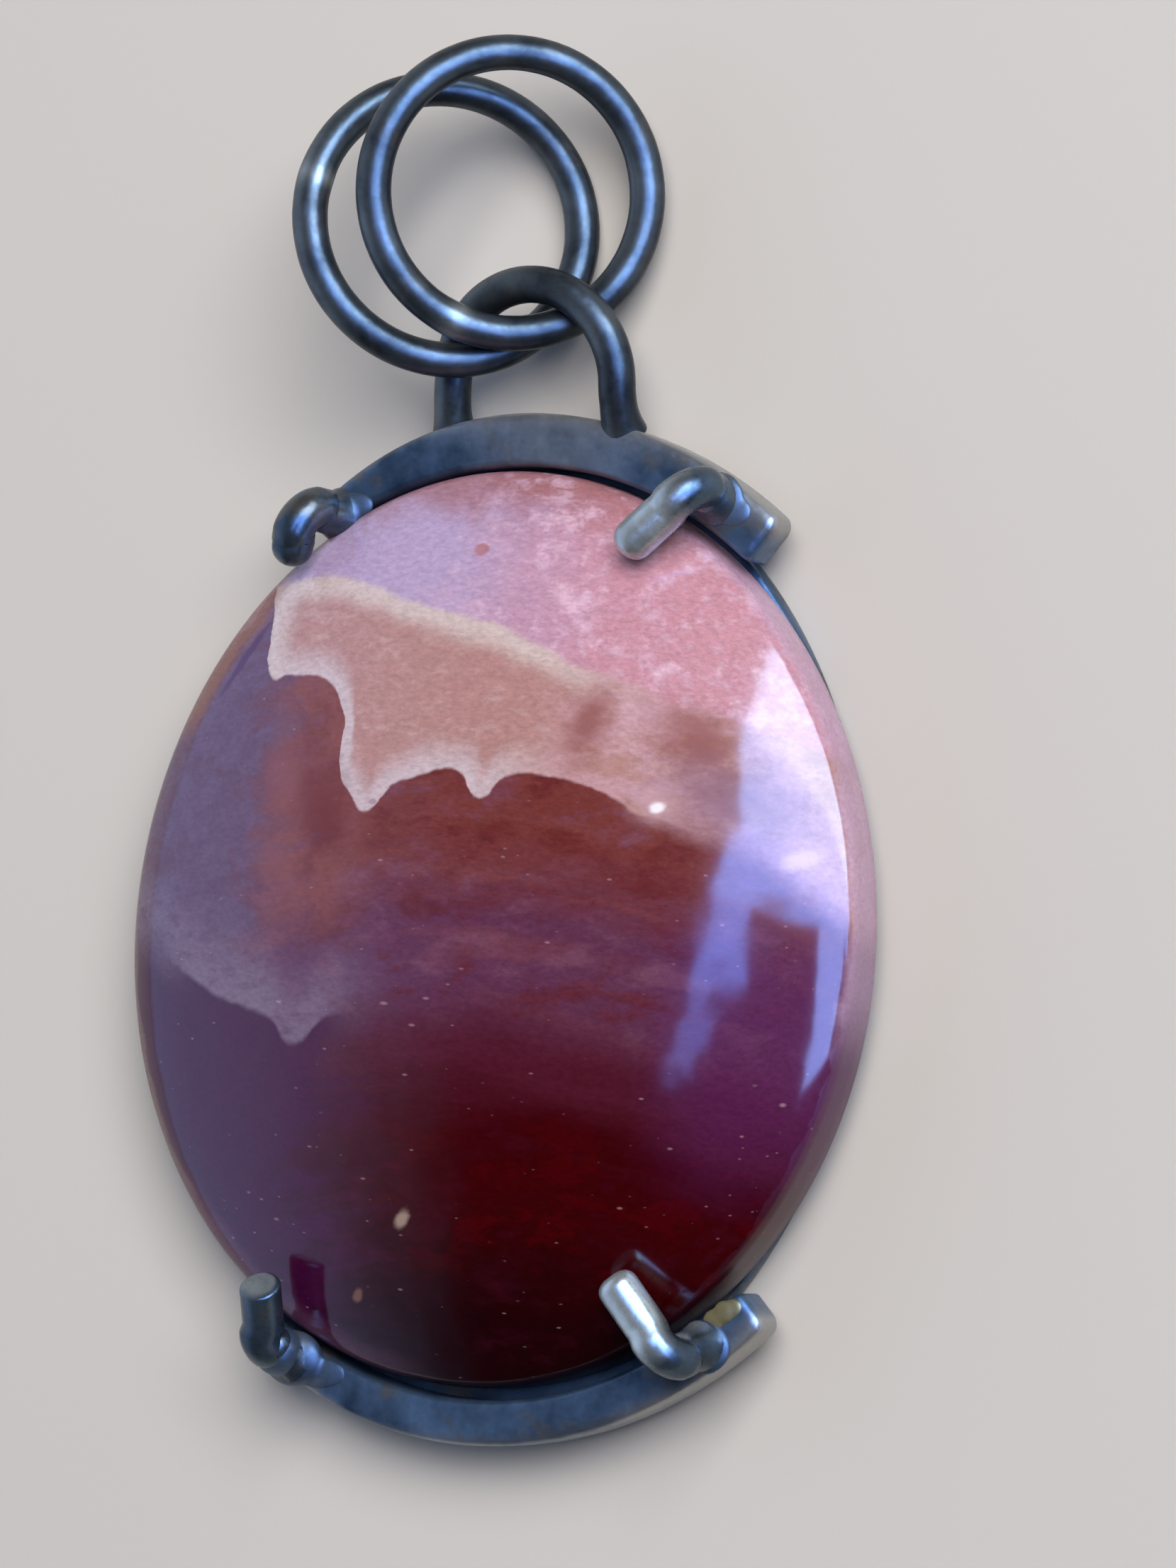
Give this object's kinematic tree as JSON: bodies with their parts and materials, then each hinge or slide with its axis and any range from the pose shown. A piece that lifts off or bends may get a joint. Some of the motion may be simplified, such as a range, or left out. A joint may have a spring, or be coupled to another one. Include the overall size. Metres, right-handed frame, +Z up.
{
  "type": "mookaite cabochon pendant",
  "caption": "Polished oval mookaite cabochon held by wire prongs in an open-back setting of blackened silver, lying flat, with a bail loop and jump rings that swing up together.",
  "frame": {"origin": "middle of the bounding box, on the surface that the pendant lies on", "axes": "+X to the right across the stone, +Y towards the bail loop and jump rings, +Z up out of the stone's polished dome"},
  "size_m": [0.0266, 0.0466, 0.0075],
  "materials": {
    "polished_mookaite": "high polish",
    "blackened_silver": "oxidised, satin",
    "worn_silver": "worn bright"
  },
  "bodies": {
    "pendant": {"stone": "polished_mookaite", "back_ring": "blackened_silver", "top_bar": "blackened_silver", "bottom_bar": "blackened_silver", "bail_loop": "blackened_silver", "prong_top_left": "worn_silver", "prong_top_right": "worn_silver", "prong_bottom_left": "worn_silver", "prong_bottom_right": "worn_silver"},
    "jump_rings": {"jump_ring_upper": "blackened_silver", "jump_ring_lower": "blackened_silver"}
  },
  "joints": [
    {"name": "rings_swing", "type": "hinge", "parent": "pendant", "child": "jump_rings", "pos_m": [-0.00079, 0.0159, 0.00424], "axis": [0.4111, 0.6972, 0.5872], "range_deg": [0, 100]}
  ]
}
